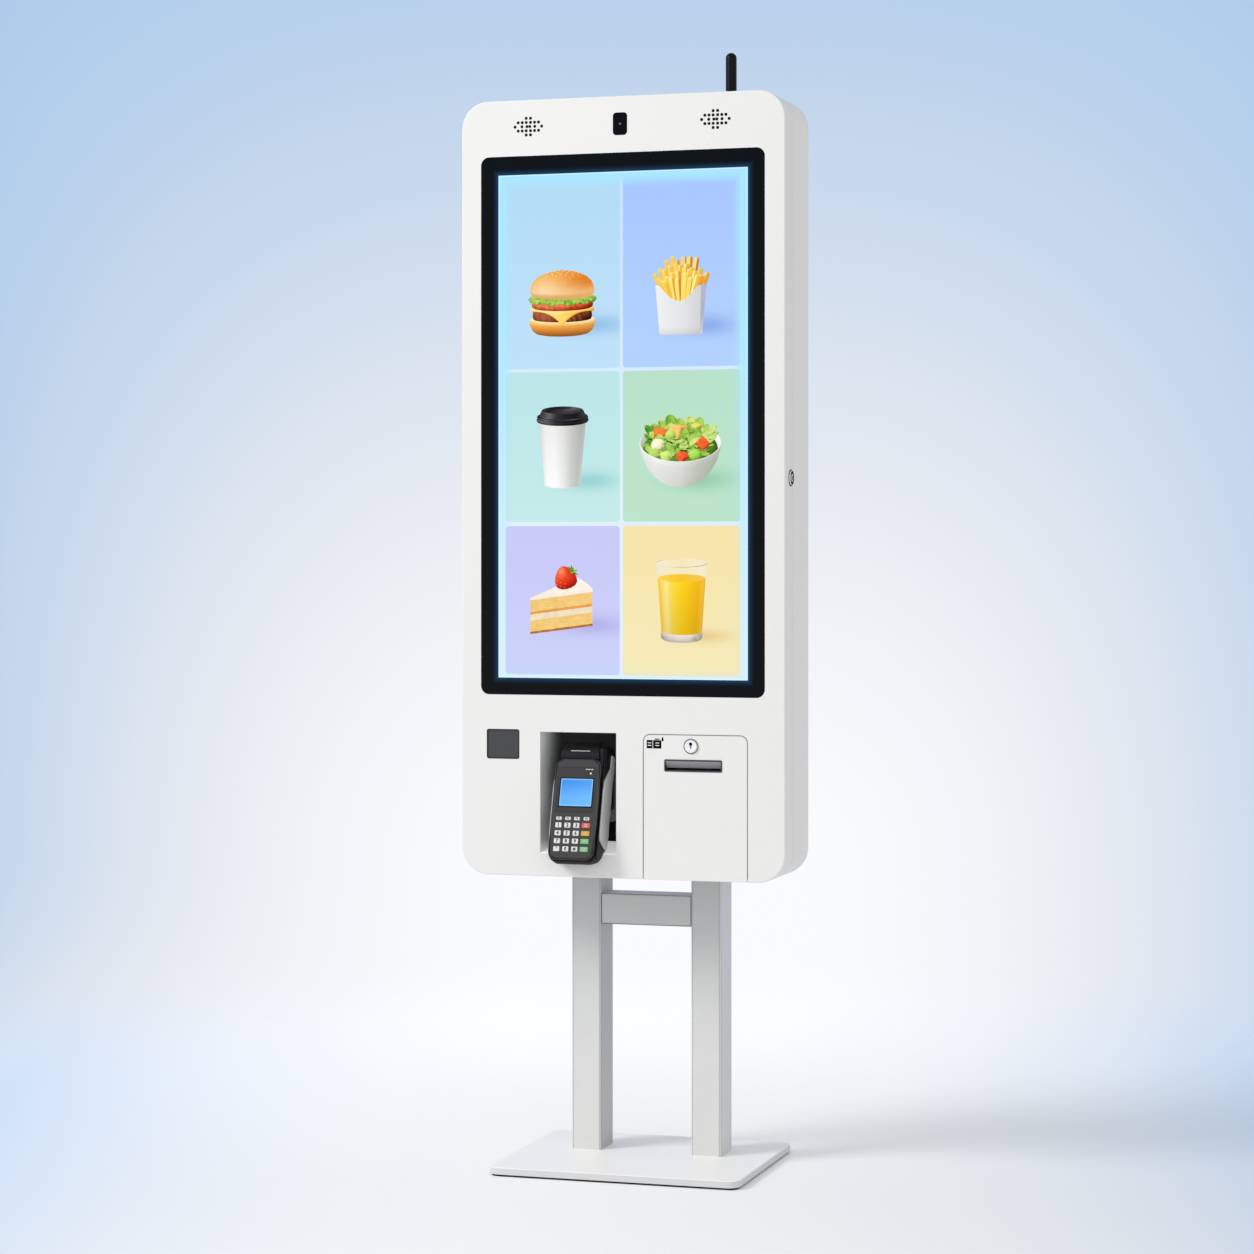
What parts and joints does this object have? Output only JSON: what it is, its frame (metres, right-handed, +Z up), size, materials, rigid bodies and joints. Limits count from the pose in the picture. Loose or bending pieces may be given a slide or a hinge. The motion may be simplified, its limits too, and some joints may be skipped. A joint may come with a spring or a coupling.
{
  "type": "self checkout kiosk",
  "caption": "Free-standing self checkout kiosk: tall touch screen cabinet on two posts, with a card terminal in a niche, a receipt printer behind a locked door, a scanner and an antenna.",
  "frame": {"origin": "centre of the base's underside, on the floor", "axes": "+Z up, +Y towards the back, +X to the right of someone facing the screen"},
  "size_m": [0.4953, 0.314, 1.6225],
  "materials": {
    "rubber": "matt",
    "base_paint": "fine satin powder coat",
    "post_paint": "satin silver-grey paint",
    "steel": "zinc plated",
    "body_paint": "smooth gloss white paint",
    "black_plastic": "fine satin",
    "switch_plastic": "gloss",
    "computer_case": "anodised",
    "supply_case": "plated sheet",
    "screen_glass": "black printed border, gloss",
    "lcd_case": "plated sheet",
    "speaker_plastic": "matt",
    "window_acrylic": "smoked acrylic",
    "scanner_plastic": "satin",
    "chrome": "polished",
    "niche_paint": "satin grey",
    "terminal_plastic": "satin moulding",
    "face_plastic": "dark grey moulding",
    "lens_acrylic": "clear hard coat",
    "grip_plastic": "soft grey moulding",
    "printer_case": "satin moulding",
    "bezel_plastic": "satin moulding",
    "paper": "thermal paper",
    "white_key": "satin",
    "red_key": "satin",
    "amber_key": "satin",
    "green_key": "satin"
  },
  "bodies": {
    "cabinet": {"base_pad": "rubber", "base_plate": "base_paint", "left_post": "post_paint", "right_post": "post_paint", "cross_beam": "post_paint", "stand_bolts": "steel", "rear_cover": "body_paint", "mount_plate": "steel", "power_inlet": "black_plastic", "computer_box": "computer_case", "power_supply": "supply_case", "hinge_case_halves": "steel", "antenna_base": "steel"},
    "front_door": {"hinge_door_halves": "steel", "front_shell": "body_paint", "touch_glass": "screen_glass", "lcd_module": "lcd_case", "speakers": "speaker_plastic", "camera_window": "window_acrylic", "camera_module": "speaker_plastic", "scanner_window": "window_acrylic", "scanner_module": "scanner_plastic", "side_lock_barrel": "chrome", "terminal_niche": "niche_paint", "terminal_cradle": "steel", "terminal_base": "terminal_plastic", "terminal_face": "face_plastic", "terminal_lens": "lens_acrylic", "terminal_grips": "grip_plastic", "receipt_printer": "printer_case"},
    "printer_hatch": {"printer_door": "body_paint", "paper_bezel": "bezel_plastic", "printer_lock_barrel": "chrome"},
    "printer_lock": {"printer_lock_plug": "chrome"},
    "side_lock": {"side_lock_plug": "chrome"},
    "paper_cover": {"terminal_cover": "terminal_plastic"},
    "paper_roll": {"receipt_roll": "paper"},
    "power_rocker": {"rocker_switch": "switch_plastic"},
    "antenna_swivel": {"antenna_collar": "black_plastic"},
    "antenna_whip": {"antenna_rod": "black_plastic"},
    "function_key_1_body": {"function_key_1": "white_key"},
    "function_key_2_body": {"function_key_2": "white_key"},
    "function_key_3_body": {"function_key_3": "white_key"},
    "function_key_4_body": {"function_key_4": "white_key"},
    "number_key_01_body": {"number_key_01": "white_key"},
    "number_key_02_body": {"number_key_02": "white_key"},
    "number_key_03_body": {"number_key_03": "white_key"},
    "number_key_04_body": {"number_key_04": "white_key"},
    "number_key_05_body": {"number_key_05": "white_key"},
    "number_key_06_body": {"number_key_06": "white_key"},
    "number_key_07_body": {"number_key_07": "white_key"},
    "number_key_08_body": {"number_key_08": "white_key"},
    "number_key_09_body": {"number_key_09": "white_key"},
    "number_key_10_body": {"number_key_10": "white_key"},
    "number_key_11_body": {"number_key_11": "white_key"},
    "number_key_12_body": {"number_key_12": "white_key"},
    "cancel_key_body": {"cancel_key": "red_key"},
    "clear_key_body": {"clear_key": "amber_key"},
    "menu_key_body": {"menu_key": "green_key"},
    "enter_key_body": {"enter_key": "green_key"}
  },
  "joints": [
    {"name": "front_door_swing", "type": "hinge", "parent": "cabinet", "child": "front_door", "pos_m": [-0.2465, -0.063, 0.99], "axis": [0, 0, -1], "range_deg": [0, 110]},
    {"name": "side_lock_turn", "type": "hinge", "parent": "front_door", "child": "side_lock", "pos_m": [0.2425, -0.076, 1.001], "axis": [-1, 0, 0], "range_deg": [0, 90]},
    {"name": "printer_door_drop", "type": "hinge", "parent": "front_door", "child": "printer_hatch", "pos_m": [0.11035, -0.101, 0.434], "axis": [1, 0, 0], "range_deg": [0, 90]},
    {"name": "printer_lock_turn", "type": "hinge", "parent": "printer_hatch", "child": "printer_lock", "pos_m": [0.1043, -0.1075, 0.6189], "axis": [0, -1, 0], "range_deg": [0, 90]},
    {"name": "receipt_roll_spin", "type": "hinge", "parent": "front_door", "child": "paper_roll", "pos_m": [0.1075, -0.058, 0.536], "axis": [1, 0, 0], "continuous": true},
    {"name": "paper_cover_lift", "type": "hinge", "parent": "front_door", "child": "paper_cover", "pos_m": [-0.0648, -0.06321, 0.61354], "axis": [-1, 0, 0], "range_deg": [0, 48]},
    {"name": "power_rocker_tip", "type": "hinge", "parent": "cabinet", "child": "power_rocker", "pos_m": [-0.18, 0.027, 0.522], "axis": [0, 0, -1], "range_deg": [0, 18]},
    {"name": "antenna_turn", "type": "hinge", "parent": "cabinet", "child": "antenna_swivel", "pos_m": [0.131, 0.012, 1.555], "axis": [0, 0, 1], "range_deg": [-165, 165]},
    {"name": "antenna_fold", "type": "hinge", "parent": "antenna_swivel", "child": "antenna_whip", "pos_m": [0.131, 0.012, 1.5605], "axis": [-1, 0, 0], "range_deg": [0, 90]},
    {"name": "function_key_1_press", "type": "slide", "parent": "front_door", "child": "function_key_1_body", "axis": [0, 0.9583, -0.2857], "range_m": [0, 0.0008], "stiffness_N_per_m": 900},
    {"name": "function_key_2_press", "type": "slide", "parent": "front_door", "child": "function_key_2_body", "axis": [0, 0.9583, -0.2857], "range_m": [0, 0.0008], "stiffness_N_per_m": 900},
    {"name": "function_key_3_press", "type": "slide", "parent": "front_door", "child": "function_key_3_body", "axis": [0, 0.9583, -0.2857], "range_m": [0, 0.0008], "stiffness_N_per_m": 900},
    {"name": "function_key_4_press", "type": "slide", "parent": "front_door", "child": "function_key_4_body", "axis": [0, 0.9583, -0.2857], "range_m": [0, 0.0008], "stiffness_N_per_m": 900},
    {"name": "number_key_01_press", "type": "slide", "parent": "front_door", "child": "number_key_01_body", "axis": [0, 0.9583, -0.2857], "range_m": [0, 0.0008], "stiffness_N_per_m": 900},
    {"name": "number_key_02_press", "type": "slide", "parent": "front_door", "child": "number_key_02_body", "axis": [0, 0.9583, -0.2857], "range_m": [0, 0.0008], "stiffness_N_per_m": 900},
    {"name": "number_key_03_press", "type": "slide", "parent": "front_door", "child": "number_key_03_body", "axis": [0, 0.9583, -0.2857], "range_m": [0, 0.0008], "stiffness_N_per_m": 900},
    {"name": "number_key_04_press", "type": "slide", "parent": "front_door", "child": "number_key_04_body", "axis": [0, 0.9583, -0.2857], "range_m": [0, 0.0008], "stiffness_N_per_m": 900},
    {"name": "number_key_05_press", "type": "slide", "parent": "front_door", "child": "number_key_05_body", "axis": [0, 0.9583, -0.2857], "range_m": [0, 0.0008], "stiffness_N_per_m": 900},
    {"name": "number_key_06_press", "type": "slide", "parent": "front_door", "child": "number_key_06_body", "axis": [0, 0.9583, -0.2857], "range_m": [0, 0.0008], "stiffness_N_per_m": 900},
    {"name": "number_key_07_press", "type": "slide", "parent": "front_door", "child": "number_key_07_body", "axis": [0, 0.9583, -0.2857], "range_m": [0, 0.0008], "stiffness_N_per_m": 900},
    {"name": "number_key_08_press", "type": "slide", "parent": "front_door", "child": "number_key_08_body", "axis": [0, 0.9583, -0.2857], "range_m": [0, 0.0008], "stiffness_N_per_m": 900},
    {"name": "number_key_09_press", "type": "slide", "parent": "front_door", "child": "number_key_09_body", "axis": [0, 0.9583, -0.2857], "range_m": [0, 0.0008], "stiffness_N_per_m": 900},
    {"name": "number_key_10_press", "type": "slide", "parent": "front_door", "child": "number_key_10_body", "axis": [0, 0.9583, -0.2857], "range_m": [0, 0.0008], "stiffness_N_per_m": 900},
    {"name": "number_key_11_press", "type": "slide", "parent": "front_door", "child": "number_key_11_body", "axis": [0, 0.9583, -0.2857], "range_m": [0, 0.0008], "stiffness_N_per_m": 900},
    {"name": "number_key_12_press", "type": "slide", "parent": "front_door", "child": "number_key_12_body", "axis": [0, 0.9583, -0.2857], "range_m": [0, 0.0008], "stiffness_N_per_m": 900},
    {"name": "cancel_key_press", "type": "slide", "parent": "front_door", "child": "cancel_key_body", "axis": [0, 0.9583, -0.2857], "range_m": [0, 0.0008], "stiffness_N_per_m": 900},
    {"name": "clear_key_press", "type": "slide", "parent": "front_door", "child": "clear_key_body", "axis": [0, 0.9583, -0.2857], "range_m": [0, 0.0008], "stiffness_N_per_m": 900},
    {"name": "menu_key_press", "type": "slide", "parent": "front_door", "child": "menu_key_body", "axis": [0, 0.9583, -0.2857], "range_m": [0, 0.0008], "stiffness_N_per_m": 900},
    {"name": "enter_key_press", "type": "slide", "parent": "front_door", "child": "enter_key_body", "axis": [0, 0.9583, -0.2857], "range_m": [0, 0.0008], "stiffness_N_per_m": 900}
  ]
}
